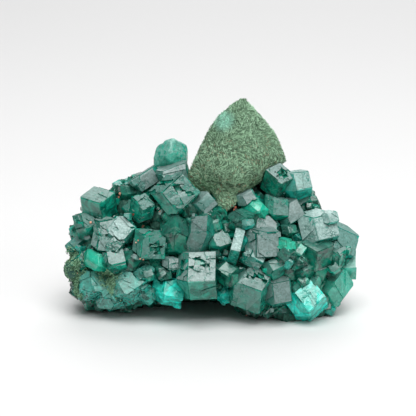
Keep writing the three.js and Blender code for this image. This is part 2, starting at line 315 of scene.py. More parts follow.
class Tone(Enum):
    """The looks a dioptase crystal can have."""

    DEEP = EmeraldFinish("dioptase_deep", (0.0, 0.06, 0.04), (0.0, 0.2, 0.125), (0.1, 0.21, 0.185), 0.06)
    # Deep crystals whose tops carry a brighter painted reflection.
    CAPPED = EmeraldFinish("dioptase_capped", (0.0, 0.06, 0.04), (0.0, 0.2, 0.125), (0.24, 0.36, 0.335), 0.08)
    GREEN = EmeraldFinish("dioptase_green", (0.0, 0.12, 0.08), (0.0, 0.36, 0.24), (0.108, 0.25, 0.217))
    BRIGHT = EmeraldFinish("dioptase_bright", (0.0, 0.26, 0.16), (0.0, 0.55, 0.36), (0.14, 0.5, 0.38))
    FROSTED = EmeraldFinish(
        "dioptase_frosted", (0.0, 0.13, 0.09), (0.015, 0.27, 0.2), (0.19, 0.285, 0.27), 0.16
    )
    PALE = EmeraldFinish("dioptase_pale", (0.0, 0.14, 0.095), (0.01, 0.33, 0.23), (0.22, 0.34, 0.315), 0.14)
    ICE = EmeraldFinish("dioptase_ice", (0.0, 0.14, 0.1), (0.02, 0.36, 0.27), (0.35, 0.52, 0.49), 0.16)
    TEAL = EmeraldFinish("dioptase_teal", (0.0, 0.2, 0.15), (0.01, 0.42, 0.33), (0.14, 0.33, 0.29))
    TURQUOISE = EmeraldFinish(
        "dioptase_turquoise", (0.0, 0.36, 0.28), (0.01, 0.88, 0.73), (0.18, 0.6, 0.52), 0.12, 0.3
    )
    MISTY = EmeraldFinish(
        "dioptase_misty", (0.0, 0.1, 0.07), (0.03, 0.46, 0.37), (0.22, 0.46, 0.41), 0.2, 0.7, 1.8 * MM
    )
    CLEAR = EmeraldFinish("dioptase_clear", (0.0, 0.3, 0.2), (0.03, 0.55, 0.4), (0.16, 0.45, 0.37), 0.14, 0.6)


@dataclass(frozen=True)
class NeedleFinish:
    """A felt of fine needles, pale over dark, with a blue-green blush and darker, browner patches below."""

    name: str = "needle_felt"
    pale: Colour = (0.47, 0.74, 0.5)
    dark: Colour = (0.025, 0.085, 0.035)
    olive: Colour = (0.1, 0.22, 0.11)
    blush: Colour = (0.4, 0.82, 0.66)
    rust: Colour = (0.3, 0.12, 0.07)
    hollow_shade: Colour = (0.02, 0.045, 0.02)
    blush_at: tuple[float, float, float] = (0.0, 0.0, 0.0)
    blush_reach: float = 3.6 * MM
    band_at: float = 32.5 * MM
    band_reach: float = 3.5 * MM

    def material(self) -> bpy.types.Material:
        """Build the material.

        Returns:
            The finished material.
        """
        bench = Bench(self.name)
        tint = bench.attribute("tint")
        fine = bench.noise(0.3 * MM, 2.0)
        patches = bench.noise(5.0 * MM, 3.0, warp=0.6)
        body = bench.blend((tint * 0.8 + fine * 0.2), self.dark, self.pale)
        low = 1.0 - abs(bench.part("Z") - self.band_at).between(0.2 * self.band_reach, self.band_reach)
        shade = low * 0.5 + patches.between(0.5, 0.7) * 0.3
        body = bench.blend(shade * (0.4 + fine), body, self.olive)
        ends = {0: bench.place, 1: self.blush_at}
        away = bench.node("ShaderNodeVectorMath", {"operation": "DISTANCE"}, ends)
        near = 1.0 - Wire(bench, away.outputs["Value"]).between(0.3 * self.blush_reach, self.blush_reach)
        body = bench.blend(near * (0.4 + tint * 0.6), body, self.blush)
        drawn_out = bench.stretched((0.0, 0.3, 0.2), (0.6, 1.0, 1.5))
        # Painted shade in the felt's hollows, stronger in the darker band.
        shaded_hollows = bench.noise(0.9 * MM, 3.0, drawn_out).between(0.52, 0.62)
        body = bench.blend(shaded_hollows * (0.2 + low * 0.6), body, self.hollow_shade)
        rusty = bench.noise(0.9 * MM, 3.0).between(0.64, 0.7) * (0.3 + low * 0.7)
        body = bench.blend((rusty * 0.4).larger_of(tint - 1.0), body, self.rust)
        normal = bench.bumped(fine, 0.03 * MM)
        return bench.finish({"Base Color": body, "Roughness": 0.6 + fine * 0.2, "Normal": normal})


@dataclass(frozen=True)
class RockFinish:
    """Rough rock: green crust in front among the crystals, broken grey-brown behind, stained with rust."""

    name: str = "rock"
    crust: Colour = (0.012, 0.085, 0.06)
    crust_pale: Colour = (0.06, 0.24, 0.17)
    stone: Colour = (0.115, 0.085, 0.06)
    stone_pale: Colour = (0.3, 0.26, 0.2)
    stain: Colour = (0.2, 0.07, 0.025)
    front: float = 0.004

    def material(self) -> bpy.types.Material:
        """Build the material.

        Returns:
            The finished material.
        """
        bench = Bench(self.name)
        coarse = bench.noise(4.0 * MM, 5.0, warp=0.8)
        fine = bench.noise(0.6 * MM, 5.0)
        grains = bench.cells(0.8 * MM)
        behind = (bench.part("Y") + (coarse - 0.5) * 0.012).between(self.front, self.front + 4.0 * MM)
        crust = bench.blend(fine.between(0.4, 0.7), self.crust, self.crust_pale)
        stone = bench.blend(coarse.between(0.35, 0.65), self.stone, self.stone_pale)
        stone = bench.blend(bench.noise(2.2 * MM, 4.0, warp=1.0).between(0.55, 0.68), stone, self.stain)
        greened = bench.noise(6.0 * MM, 4.0, warp=1.0).between(0.52, 0.66)
        stone = bench.blend(greened * 0.8, stone, self.crust_pale)
        body = bench.blend(behind, crust, stone)
        body = bench.blend(fine.between(0.3, 0.8) * 0.5, body, (0.02, 0.025, 0.02))
        normal = bench.bumped(coarse, 0.5 * MM)
        normal = bench.bumped(fine + grains * 0.5, 0.18 * MM, normal)
        return bench.finish({"Base Color": body, "Roughness": 0.55 + fine * 0.35, "Normal": normal})


@dataclass(frozen=True)
class SpeckFinish:
    """Small rusty grains."""

    name: str = "rusty_grains"
    dark: Colour = (0.35, 0.09, 0.045)
    pale: Colour = (0.85, 0.45, 0.32)

    def material(self) -> bpy.types.Material:
        """Build the material."""
        bench = Bench(self.name)
        grain = bench.noise(0.3 * MM, 3.0)
        body = bench.blend(bench.noise(3.0 * MM, 1.0).between(0.4, 0.6), self.dark, self.pale)
        normal = bench.bumped(grain, 0.05 * MM)
        return bench.finish({"Base Color": body, "Roughness": 0.5 + grain * 0.3, "Normal": normal})


@dataclass(frozen=True)
class FloorFinish:
    """A plain pale matt surface."""

    name: str = "pale_floor"
    colour: Colour = (0.74, 0.74, 0.74)

    def material(self) -> bpy.types.Material:
        """Build the material."""
        bench = Bench(self.name)
        tooth = bench.noise(0.4 * MM, 2.0)
        normal = bench.bumped(tooth, 0.005 * MM)
        return bench.finish({"Base Color": self.colour, "Roughness": 0.8, "Normal": normal})


# ---------------------------------------------------------------------------- working a mesh


def pick_object(piece: bpy.types.Object) -> None:
    """Make a piece the active object and the only one selected."""
    bpy.ops.object.select_all(action="DESELECT")
    bpy.context.view_layer.objects.active = piece
    piece.select_set(True)


def add_shape(add: Callable[..., set[str]], **settings: object) -> bpy.types.Object:
    """Add a primitive with nothing else selected.

    Args:
        add: The operator that adds it.
        **settings: The operator's settings.

    Returns:
        The new object.
    """
    bpy.ops.object.select_all(action="DESELECT")
    add(**settings)
    return bpy.context.object


@contextmanager
def editing(piece: bpy.types.Object) -> Iterator[None]:
    """Open a piece in edit mode with nothing selected, and close it afterwards.

    Args:
        piece: The piece to edit.
    """
    pick_object(piece)
    bpy.ops.object.mode_set(mode="EDIT")
    bpy.ops.mesh.select_mode(type="FACE")
    bpy.ops.mesh.select_all(action="DESELECT")
    try:
        yield
    finally:
        bpy.ops.object.mode_set(mode="OBJECT")


def pick_faces(piece: bpy.types.Object, wanted: Callable[[bmesh.types.BMFace], bool]) -> None:
    """Select just the faces that pass a test.

    Args:
        piece: A piece open in edit mode.
        wanted: The test.
    """
    bpy.ops.mesh.select_all(action="DESELECT")
    mesh = bmesh.from_edit_mesh(piece.data)
    for face in [face for face in mesh.faces if wanted(face)]:
        face.select_set(True)
    bmesh.update_edit_mesh(piece.data)


def press_flat(piece: bpy.types.Object, below: float) -> None:
    """Press the corners of a piece that are lower than a height onto the floor.

    Args:
        piece: The piece.
        below: The height.
    """
    with editing(piece):
        bpy.ops.mesh.select_mode(type="VERT")
        mesh = bmesh.from_edit_mesh(piece.data)
        for vertex in mesh.verts:
            vertex.select_set(vertex.co.z < below)
        bmesh.update_edit_mesh(piece.data)
        bpy.ops.transform.resize(value=(1, 1, 0), center_override=(0, 0, 0))


def apply_modifier(piece: bpy.types.Object, kind: str, **settings: object) -> None:
    """Add a modifier to a piece and apply it.

    Args:
        piece: The piece.
        kind: The modifier's type.
        settings: Its properties.
    """
    pick_object(piece)
    modifier = piece.modifiers.new(kind.lower(), kind)
    for key, value in settings.items():
        setattr(modifier, key, value)
    bpy.ops.object.modifier_apply(modifier=modifier.name)


def roughen(piece: bpy.types.Object, kind: str, size: float, strength: float, mid_level: float,
            detail: int = 0) -> None:
    """Push a piece's surface in and out by a pattern.

    Args:
        piece: The piece.
        kind: The pattern's type.
        size: Its feature size.
        strength: How far it pushes.
        mid_level: The pattern's value that stays in place.
        detail: Octaves of finer detail, or 0 for the pattern's own.
    """
    pattern = bpy.data.textures.new(f"{piece.name}_{kind.lower()}", kind)
    pattern.noise_scale = size
    if detail:
        pattern.noise_depth = detail
    apply_modifier(piece, "DISPLACE", texture=pattern, strength=strength, mid_level=mid_level,
                   texture_coords="LOCAL")


def upright_on(normal: Vector) -> Matrix:
    """Return the turn that stands a shape up along a normal."""
    return normal.to_track_quat("Z", "Y").to_matrix()


def copy_of(node: bpy.types.Object, name: str, merge: float) -> bpy.types.Object:
    """Copy a CAD node as a new piece whose flat faces are whole again.

    Args:
        node: The CAD node.
        name: The new piece's name.
        merge: Corners closer than this become one.

    Returns:
        The new piece.
    """
    piece = bpy.data.objects.new(name, node.data.copy())
    piece.data.name = name
    piece.data.materials.clear()
    bpy.context.scene.collection.objects.link(piece)
    with editing(piece):
        bpy.ops.mesh.customdata_custom_splitnormals_clear()
        bpy.ops.mesh.select_all(action="SELECT")
        bpy.ops.mesh.remove_doubles(threshold=merge)
        bpy.ops.mesh.dissolve_limited(angle_limit=math.radians(3.0))
    return piece


def join_copies(name: str, patterns: Sequence[bpy.types.Object], places: Sequence[Matrix],
                picks: Sequence[int], tints: Sequence[float]) -> bpy.types.Object:
    """Make one piece from many placed copies of a few small patterns.

    Args:
        name: The new piece's name.
        patterns: The modelled patterns, about the origin.
        places: Each copy's placement.
        picks: Each copy's pattern number.
        tints: Each copy's tint, above 1 for a rusty one, kept as both the tint and the painted sheen
            attribute.

    Returns:
        The new piece.
    """
    corners, faces, shades = [], [], []
    first = 0
    shapes = []
    for pattern in patterns:
        points = np.array([vertex.co for vertex in pattern.data.vertices])
        shapes.append((points, [tuple(polygon.vertices) for polygon in pattern.data.polygons]))
    for place, pick, tint in zip(places, picks, tints):
        points, polygons = shapes[pick]
        turned = points @ np.array(place.to_3x3()).T + np.array(place.translation)
        corners.append(turned)
        faces.extend(tuple(first + corner for corner in polygon) for polygon in polygons)
        shades.append(np.full(len(points), tint, np.float32))
        first += len(points)
    mesh = bpy.data.meshes.new(name)
    mesh.from_pydata(np.concatenate(corners).tolist(), [], faces)
    for kind in ("tint", "film"):
        mesh.attributes.new(kind, "FLOAT", "POINT").data.foreach_set("value", np.concatenate(shades))
    mesh.update()
    piece = bpy.data.objects.new(name, mesh)
    bpy.context.scene.collection.objects.link(piece)
    return piece


def middle_of(piece: bpy.types.Object) -> Vector:
    """Return the middle of a piece's corners."""
    corners = [vertex.co for vertex in piece.data.vertices]
    return sum(corners, Vector()) / len(corners)


def smooth_by_angle(piece: bpy.types.Object, degrees: float) -> None:
    """Shade a piece smooth across edges blunter than an angle."""
    pick_object(piece)
    bpy.ops.object.shade_smooth_by_angle(angle=math.radians(degrees))


def hand_over(piece: bpy.types.Object, slot: str, *nodes: str) -> None:
    """Ride a finished piece on the specimen's body, and hide the nodes that it stands for.

    Args:
        piece: The piece, which is first flattened where it would stand below the ground.
        slot: Its material slot; not used.
        *nodes: The nodes that it replaces.
    """
    if any(vertex.co.z < 0 for vertex in piece.data.vertices):
        press_flat(piece, 0.0)
    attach(piece, BODY)
    if nodes:
        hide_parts(*nodes)
    log.info("%s: %d faces", piece.name, len(piece.data.polygons))


# ---------------------------------------------------------------------------- the specimen


@dataclass
class Spot:
    """A place on the specimen's surface."""

    at: Vector
    normal: Vector
    owner: str


@dataclass
class Surroundings:
    """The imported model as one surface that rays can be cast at."""

    nodes: dict[str, bpy.types.Object]
    tree: BVHTree = field(init=False)
    owners: list[str] = field(init=False)
    skin: float = 0.02  # millimetres
    far: float = 0.2

    def __post_init__(self) -> None:
        """Build the search tree over all nodes."""
        corners, faces = [], []
        self.owners = []
        for name in sorted(self.nodes):
            data = self.nodes[name].data
            first = len(corners)
            corners.extend(vertex.co.copy() for vertex in data.vertices)
            faces.extend([first + corner for corner in polygon.vertices] for polygon in data.polygons)
            self.owners.extend(name for _ in data.polygons)
        self.tree = BVHTree.FromPolygons(corners, faces)

    def is_open(self, at: Vector, normal: Vector, reach: float) -> bool:
        """Return whether nothing stands within reach of a place, straight out."""
        return self.tree.ray_cast(at + normal * self.skin * MM, normal, reach)[0] is None

    def seen_from(self, direction: Vector, spacing: float, size: float) -> Iterator[Spot]:
        """Look at the specimen along parallel rays on a grid.

        Args:
            direction: Unit vector from the specimen towards the eye.
            spacing: Distance between rays.
            size: Half the width of the grid.

        Yields:
            Each place that a ray meets first.
        """
        across = direction.orthogonal().normalized()
        upward = direction.cross(across)
        lowest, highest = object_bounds()
        middle = (Vector(lowest) + Vector(highest)) / 2
        steps = int(size / spacing)
        for row in range(-steps, steps + 1):
            for column in range(-steps, steps + 1):
                start = middle + direction * self.far + across * row * spacing + upward * column * spacing
                at, normal, index, _ = self.tree.ray_cast(start, -direction)
                if at is not None:
                    yield Spot(at, normal, self.owners[index])


@dataclass(frozen=True)
class Growth:
    """How a crystal has grown: the spacing of its growth lines, and the plates and blocks on it."""

    families: int
    cell: float
    paired: float
    plates: int
    step: float
    blocks: int
    crack_cell: float = 0.5 * MM * MM
    lines: int = 5
    break_width: float = 0.0

    def calmed(self) -> "Growth":
        """Return the quieter growth of a crystal's upright faces."""
        return replace(self, families=min(self.families, 2), paired=0.0, plates=min(self.plates, 1),
                       cell=max(2.5 * MM, self.cell), step=min(self.step, 0.22 * MM), crack_cell=0.0,
                       lines=5, break_width=0.0)


class Habit(Enum):
    """The kinds of growth."""

    PLAIN = Growth(1, 2.8 * MM, 0.0, 1, 0.14 * MM, 0)
    STEPPED = Growth(2, 2.4 * MM, 0.05, 1, 0.26 * MM, 2)
    BROKEN = Growth(3, 1.15 * MM, 0.0, 1, 0.32 * MM, 1, lines=8, break_width=0.55 * MM)
    CLUSTERED = Growth(2, 1.5 * MM, 0.1, 2, 0.32 * MM, 15)
    DOMED = Growth(0, 0.0, 0.0, 0, 0.0, 0)


@dataclass(frozen=True)
class Companion:
    """A smaller crystal, shaped like a named one: its middle and its size across, in millimetres."""

    like: str
    tone: Tone
    middle: tuple[float, float, float]
    size: float
    turn: float


@dataclass
class CrystalHeap:
    """The named dioptase crystals: growth steps on their open faces, blunted edges, and each its own tone."""

    nodes: dict[str, bpy.types.Object]
    surroundings: Surroundings
    edge: float = 0.13 * MM
    wander: float = 0.2 * MM
    edge_highlight: float = 0.6
    swell: float = 1.05
    companions: tuple[Companion, ...] = (
        Companion("ridge_06", Tone.DEEP, (-15.2, 4.4, 32.6), 3.6, 30.0),
        Companion("right_05", Tone.DEEP, (18.8, -6.5, 21.8), 5.4, 12.0),
        Companion("left_11", Tone.DEEP, (-13.2, -9.5, 14.2), 5.4, 20.0),
        Companion("left_02", Tone.DEEP, (-12.5, -4.5, 24.2), 5.0, 60.0),
        Companion("right_19", Tone.DEEP, (21.5, -9.5, 17.0), 4.4, 15.0),
        Companion("left_10", Tone.GREEN, (-20.5, -3.0, 26.8), 4.6, 35.0),
        Companion("right_09", Tone.FROSTED, (21.9, -6.4, 17.8), 3.6, 10.0),
        Companion("right_05", Tone.GREEN, (25.2, -10.6, 9.6), 5.2, 70.0),
        Companion("right_19", Tone.TEAL, (11.7, -12.6, 16.3), 3.4, 25.0),
        Companion("left_11", Tone.BRIGHT, (13.4, -13.2, 13.8), 2.2, 50.0),
        Companion("centre_08", Tone.FROSTED, (17.9, -10.9, 2.6), 2.8, 15.0),
        Companion("left_10", Tone.DEEP, (4.6, -15.0, 11.6), 4.6, 75.0),
        Companion("right_05", Tone.TEAL, (8.6, -9.6, 24.6), 4.4, 5.0),
        Companion("centre_08", Tone.FROSTED, (-15.4, -3.4, 23.4), 2.2, 40.0),
        Companion("right_09", Tone.ICE, (-20.4, -7.6, 25.6), 2.6, 65.0),
        Companion("left_10", Tone.FROSTED, (-30.7, -5.4, 19.8), 2.4, 12.0),
        Companion("left_11", Tone.TEAL, (-32.2, -6.2, 17.2), 3.0, 33.0),
        Companion("centre_08", Tone.FROSTED, (-29.4, -7.4, 17.6), 2.0, 30.0),
        Companion("right_19", Tone.FROSTED, (-18.0, -12.5, 16.6), 2.8, 55.0),
        Companion("left_10", Tone.GREEN, (-15.6, -13.3, 12.9), 3.8, 10.0),
        Companion("right_05", Tone.DEEP, (-12.1, -13.4, 12.4), 3.6, 45.0),
        Companion("left_02", Tone.FROSTED, (-11.4, -10.9, 19.4), 2.8, 20.0),
        Companion("right_19", Tone.DEEP, (-15.0, -9.6, 14.6), 4.0, 60.0),
        Companion("left_10", Tone.GREEN, (29.8, -9.6, 13.2), 3.8, 20.0),
        Companion("left_11", Tone.DEEP, (26.6, -9.8, 12.0), 4.6, 60.0),
    )
    smallest_face: float = 3.0 * MM * MM
    clearance: float = 2 * MM
    merge: float = 0.1 * MM
    dome_grain: float = 0.3 * MM
    dome_swell: float = 1.06
    block_sizes: tuple[float, float, float] = (0.14, 0.42, 0.2)
    upward: float = 0.3
    same_way: float = 0.8
    fewest_cells: int = 12
    trench_depth: float = 0.2
    film_from: float = 0.12
    film_span: float = 0.75
    usual_front: float = 0.65
    usual_most: float = 0.96
    looks: dict[tuple[Tone, Habit], str] = field(default_factory=lambda: {
        (Tone.PALE, Habit.BROKEN): "centre_01 right_01",
        (Tone.DEEP, Habit.STEPPED): "centre_02 centre_07 right_13 right_20",
        (Tone.FROSTED, Habit.STEPPED): "centre_03 right_02 right_06 ridge_04 ridge_05 ridge_09",
        (Tone.GREEN, Habit.STEPPED): "centre_04 right_08 right_10 right_18 left_01",
        (Tone.ICE, Habit.PLAIN): "centre_05",
        (Tone.DEEP, Habit.PLAIN): "centre_06 centre_09 right_19 left_11 ridge_06",
        (Tone.FROSTED, Habit.BROKEN): "centre_08",
        (Tone.FROSTED, Habit.CLUSTERED): "right_03",
        (Tone.ICE, Habit.CLUSTERED): "right_04 left_05",
        (Tone.BRIGHT, Habit.STEPPED): "right_05",
        (Tone.BRIGHT, Habit.PLAIN): "right_07 left_09",
        (Tone.FROSTED, Habit.PLAIN): "right_09 ridge_02",
        (Tone.ICE, Habit.STEPPED): "right_11",
        (Tone.TEAL, Habit.STEPPED): "right_12 left_12",
        (Tone.GREEN, Habit.CLUSTERED): "right_14 left_02 left_03 left_10 left_13",
        (Tone.CLEAR, Habit.STEPPED): "right_15 right_16",
        (Tone.TURQUOISE, Habit.CLUSTERED): "right_17 foot_02",
        (Tone.PALE, Habit.CLUSTERED): "left_04 left_06 left_07",
        (Tone.GREEN, Habit.BROKEN): "left_08 ridge_01",
        (Tone.CLEAR, Habit.DOMED): "ridge_03",
        (Tone.TEAL, Habit.PLAIN): "ridge_07",
        (Tone.CAPPED, Habit.BROKEN): "ridge_08",
        (Tone.MISTY, Habit.STEPPED): "foot_01 foot_06",
        (Tone.MISTY, Habit.CLUSTERED): "foot_03 foot_04 foot_05",
        (Tone.TURQUOISE, Habit.STEPPED): "foot_07",
    })
    front_sheen: dict[Tone, float] = field(default_factory=lambda: {
        Tone.DEEP: 0.12, Tone.CAPPED: 0.1, Tone.BRIGHT: 0.3, Tone.FROSTED: 0.85, Tone.PALE: 0.7,
        Tone.ICE: 0.9, Tone.GREEN: 0.5,
    })
    most_sheen: dict[Tone, float] = field(default_factory=lambda: {
        Tone.BRIGHT: 0.45, Tone.TURQUOISE: 0.22, Tone.DEEP: 0.6, Tone.MISTY: 0.6,
    })

    def build(self, materials: dict[Tone, bpy.types.Material]) -> None:
        """Make every crystal.

        Args:
            materials: Each tone's material.
        """
        for name in sorted(self.nodes):
            if name.startswith("dioptase_"):
                place = name.removeprefix("dioptase_")
                tone, habit = self.look_of(place)
                piece = copy_of(self.nodes[name], f"crystal_{place}", self.merge)
                draw = random.Random(place)
                self.close_gaps(piece)
                if habit is Habit.DOMED:
                    self.round_off(piece)
                else:
                    self.grow_blocks(piece, habit.value, draw)
                    self.blunt_edges(piece)
                    self.grow_steps(piece, habit.value, draw)
                self.dress(piece, tone, materials[tone], name)
        for number, companion in enumerate(self.companions):
            self.grow_companion(companion, number, materials[companion.tone])

    def grow_companion(self, companion: Companion, number: int, material: bpy.types.Material) -> None:
        """Make one of the smaller crystals.

        Args:
            companion: What it is like and where it stands.
            number: Its number.
            material: Its material.
        """
        name = f"companion_{number + 1:02d}"
        piece = copy_of(self.nodes[f"dioptase_{companion.like}"], name, self.merge)
        old = middle_of(piece)
        new = Vector(companion.middle) * MM
        scale = companion.size * MM / max(piece.dimensions)
        with editing(piece):
            bpy.ops.mesh.select_all(action="SELECT")
            bpy.ops.transform.resize(value=(scale,) * 3, center_override=old)
            bpy.ops.transform.rotate(value=math.radians(companion.turn), orient_axis="Y", center_override=old)
            bpy.ops.transform.translate(value=new - old)
        self.blunt_edges(piece)
        self.grow_steps(piece, Habit.PLAIN.value, random.Random(name))
        self.dress(piece, companion.tone, material)

    def look_of(self, place: str) -> tuple[Tone, Habit]:
        """Return a named crystal's tone and habit."""
        return next(look for look, places in self.looks.items() if place in places.split())

    def dress(self, piece: bpy.types.Object, tone: Tone, material: bpy.types.Material, *nodes: str) -> None:
        """Give a crystal its painted sheen, material and shading, and hand it over.

        Args:
            piece: The crystal.
            tone: Its tone.
            material: The tone's material.
            *nodes: The nodes that it replaces.
        """
        self.paint_sheen(piece, tone)
        piece.data.materials.append(material)
        smooth_by_angle(piece, SHARP)
        hand_over(piece, "dioptase", *nodes)

    def close_gaps(self, piece: bpy.types.Object) -> None:
        """Swell a crystal a little, so that it meets its neighbours."""
        with editing(piece):
            bpy.ops.mesh.select_all(action="SELECT")
            bpy.ops.transform.resize(value=(self.swell,) * 3, center_override=middle_of(piece))

    def round_off(self, piece: bpy.types.Object) -> None:
        """Turn a crystal into a lumpy dome."""
        apply_modifier(piece, "REMESH", mode="VOXEL", voxel_size=self.dome_grain)
        apply_modifier(piece, "SMOOTH", factor=0.8, iterations=30)
        with editing(piece):
            bpy.ops.mesh.select_all(action="SELECT")
            bpy.ops.transform.resize(value=(self.dome_swell,) * 3, center_override=middle_of(piece))
        roughen(piece, "VORONOI", 1.6 * MM, 0.5 * MM, 0.3)

    def blunt_edges(self, piece: bpy.types.Object) -> None:
        """Take the sharpness off a crystal's edges."""
        with editing(piece):
            bpy.ops.mesh.select_mode(type="EDGE")
            bpy.ops.mesh.edges_select_sharp(sharpness=math.radians(SHARP))
            bpy.ops.mesh.bevel(offset=self.edge, segments=2, affect="EDGES", clamp_overlap=True)

    def grow_blocks(self, piece: bpy.types.Object, growth: Growth, draw: random.Random) -> None:
        """Grow smaller blocks over a crystal, parallel to it and mostly sunk in it.

        Args:
            piece: The crystal.
            growth: How it grows.
            draw: The crystal's own sequence of random numbers.
        """
        corners = [vertex.co.copy() for vertex in piece.data.vertices]
        middle = sum(corners, Vector()) / len(corners)
        faces = [face for face in piece.data.polygons if face.area > self.smallest_face]
        faces = [face for face in faces if self.is_clear(face.center, face.normal)]
        if not faces or not growth.blocks:
            return
        places = [Matrix.Identity(4)]
        for _ in range(growth.blocks):
            face = faces[draw.randrange(len(faces))]
            corner = corners[face.vertices[draw.randrange(len(face.vertices))]]
            size = draw.triangular(*self.block_sizes)
            at = face.center.lerp(corner, draw.uniform(0.25, 0.95))
            lift = draw.uniform(0.2, 0.75) * 2 * growth.step
            depth = max((Vector(co) - middle).dot(face.normal) for co in corners) * size
            centre = at + face.normal * (lift - depth)
            turn = Matrix.Rotation(draw.gauss(0, 0.06), 4, face.normal)
            place = Matrix.Translation(centre) @ turn @ Matrix.Scale(size, 4) @ Matrix.Translation(-middle)
            places.append(place)
        grown = join_copies("blocks", [piece], places, [0] * len(places), [0.0] * len(places))
        old = piece.data
        piece.data = grown.data
        bpy.data.objects.remove(grown)
        bpy.data.meshes.remove(old)
        piece.data.name = piece.name

    def grow_steps(self, piece: bpy.types.Object, growth: Growth, draw: random.Random) -> None:
        """Split the open faces into cells along growth lines and raise plates of cells.

        Args:
            piece: The crystal.
            growth: How it grows.
            draw: The crystal's own sequence of random numbers.
        """
        with editing(piece):
            mesh = bmesh.from_edit_mesh(piece.data)
            mark = mesh.faces.layers.int.new("growth")
            mesh.faces.layers.int.new("level")
            number = 0
            for face in mesh.faces:
                middle = face.calc_center_median()
                if face.calc_area() > self.smallest_face and self.is_clear(middle, face.normal):
                    number += 1
                    face[mark] = number
            plans = {face[mark]: self.face_plan(face, self.growth_on(face.normal, growth), draw)
                     for face in mesh.faces if face[mark]}
            for key, (normal, cuts) in plans.items():
                habit = self.growth_on(normal, growth)
                for at, across in cuts:
                    layer = bmesh.from_edit_mesh(piece.data).faces.layers.int["growth"]
                    pick_faces(piece, lambda face: face[layer] == key)
                    bpy.ops.mesh.bisect(plane_co=at, plane_no=across, threshold=1e-6)
                self.roughen_lines(piece, key, draw)
                for _ in range(habit.plates):
                    self.raise_plate(piece, key, normal, habit, draw)
                if habit.break_width:
                    self.open_breaks(piece, key, normal, habit, draw)

    def is_clear(self, at: Vector, normal: Vector) -> bool:
        """Return whether nothing stands close in front of a face."""
        return self.surroundings.is_open(at, normal, self.clearance)

    def growth_on(self, normal: Vector, growth: Growth) -> Growth:
        """Return how a face with this normal grows: upright faces are quieter."""
        return growth if normal.z > self.upward else growth.calmed()

    @staticmethod
    def is_beside_picked(face: bmesh.types.BMFace) -> bool:
        """Return whether a face shares an edge with a selected one."""
        return any(edge.link_faces[0].select or edge.link_faces[-1].select for edge in face.edges)

    def face_plan(self, face: bmesh.types.BMFace, growth: Growth,
                  draw: random.Random) -> tuple[Vector, list[tuple[Vector, Vector]]]:
        """Choose the growth lines on one face: families that follow its edges and its diagonal.

        Args:
            face: The face.
            growth: How the crystal grows.
            draw: The crystal's random numbers.

        Returns:
            The face's normal, and each line as a point and the direction across it.
        """
        normal = face.normal.copy()
        middle = face.calc_center_median()
        edges = sorted(face.edges, key=lambda edge: -edge.calc_length())
        ways = [(edge.verts[1].co - edge.verts[0].co).normalized() for edge in edges]
        first = ways[0]
        second = next((way for way in ways if abs(way.dot(first)) < 0.85), normal.cross(first))
        slant = (first * draw.uniform(0.7, 1.3) + second).normalized()
        cuts = []
        for way in (first, slant, second)[:growth.families]:
            across = normal.cross(way).normalized()
            reaches = [(vertex.co - middle).dot(across) for vertex in face.verts]
            count = min(growth.lines, int((max(reaches) - min(reaches)) / growth.cell))
            for row in range(count):
                share = (row + draw.uniform(0.1, 1.7)) / (count + 1)
                place = min(reaches) + (max(reaches) - min(reaches)) * share
                turn = Matrix.Rotation(draw.gauss(0, 0.14), 3, normal)
                cuts.append((middle + across * place, turn @ across))
                if draw.random() < growth.paired:
                    cuts.append((middle + across * (place + draw.uniform(0.45, 0.75) * MM), turn @ across))
        return normal, cuts

    def roughen_lines(self, piece: bpy.types.Object, key: int, draw: random.Random) -> None:
        """Nudge the inner corners of a face's cells, so that its growth lines wander.

        Args:
            piece: The crystal.
            key: The face's growth mark.
            draw: The crystal's random numbers.
        """
        bpy.ops.mesh.select_all(action="DESELECT")
        bpy.ops.mesh.select_mode(type="VERT")
        mesh = bmesh.from_edit_mesh(piece.data)
        mark = mesh.faces.layers.int["growth"]
        for vertex in mesh.verts:
            vertex.select_set(all(face[mark] == key for face in vertex.link_faces))
        bmesh.update_edit_mesh(piece.data)
        bpy.ops.transform.vertex_random(offset=self.wander, seed=draw.randrange(10000))
        bpy.ops.mesh.select_mode(type="FACE")

    def raise_plate(self, piece: bpy.types.Object, key: int, normal: Vector, growth: Growth,
                    draw: random.Random) -> None:
        """Raise the cells on one side of a line across a face, so that the plate's edge is a jagged stair.

        Args:
            piece: The crystal.
            key: The face's growth mark.
            normal: The face's normal.
            growth: How the crystal grows.
            draw: The crystal's random numbers.
        """
        mesh = bmesh.from_edit_mesh(piece.data)
        mark = mesh.faces.layers.int["growth"]
        cells = [face for face in mesh.faces if face[mark] == key and face.normal.dot(normal) > self.same_way]
        centres = [face.calc_center_median() for face in cells]
        middle = sum(centres, Vector()) / len(centres)
        way = Matrix.Rotation(draw.uniform(0, math.tau), 3, normal) @ normal.orthogonal().normalized()
        reach = max((centre - middle).length for centre in centres)
        edge = draw.uniform(-0.75, 0.1) * reach
        crack = draw.uniform(-0.4, 0.4) * reach
        level = mesh.faces.layers.int["level"]
        chosen = set()
        for face, centre in zip(cells, centres):
            along, aside = (centre - middle).dot(way), (centre - middle).dot(normal.cross(way))
            cracked = face.calc_area() < growth.crack_cell and abs(aside - crack) < 0.4 * reach
            if along > edge + draw.gauss(0, 0.06) * reach:
                if cracked and draw.random() < 0.85:
                    face[level] = -1
                else:
                    chosen.add(face.index)
        if chosen:
            pick_faces(piece, lambda face: face.index in chosen)
            lift = normal * growth.step * draw.uniform(0.6, 1.2)
            bpy.ops.mesh.extrude_region_move(TRANSFORM_OT_translate={"value": lift})
            mesh = bmesh.from_edit_mesh(piece.data)
            level = mesh.faces.layers.int["level"]
            for face in mesh.faces:
                if face.select:
                    face[level] = max(1, face[level])
                elif face.normal.dot(normal) < self.same_way and self.is_beside_picked(face):
                    face[level] = -1

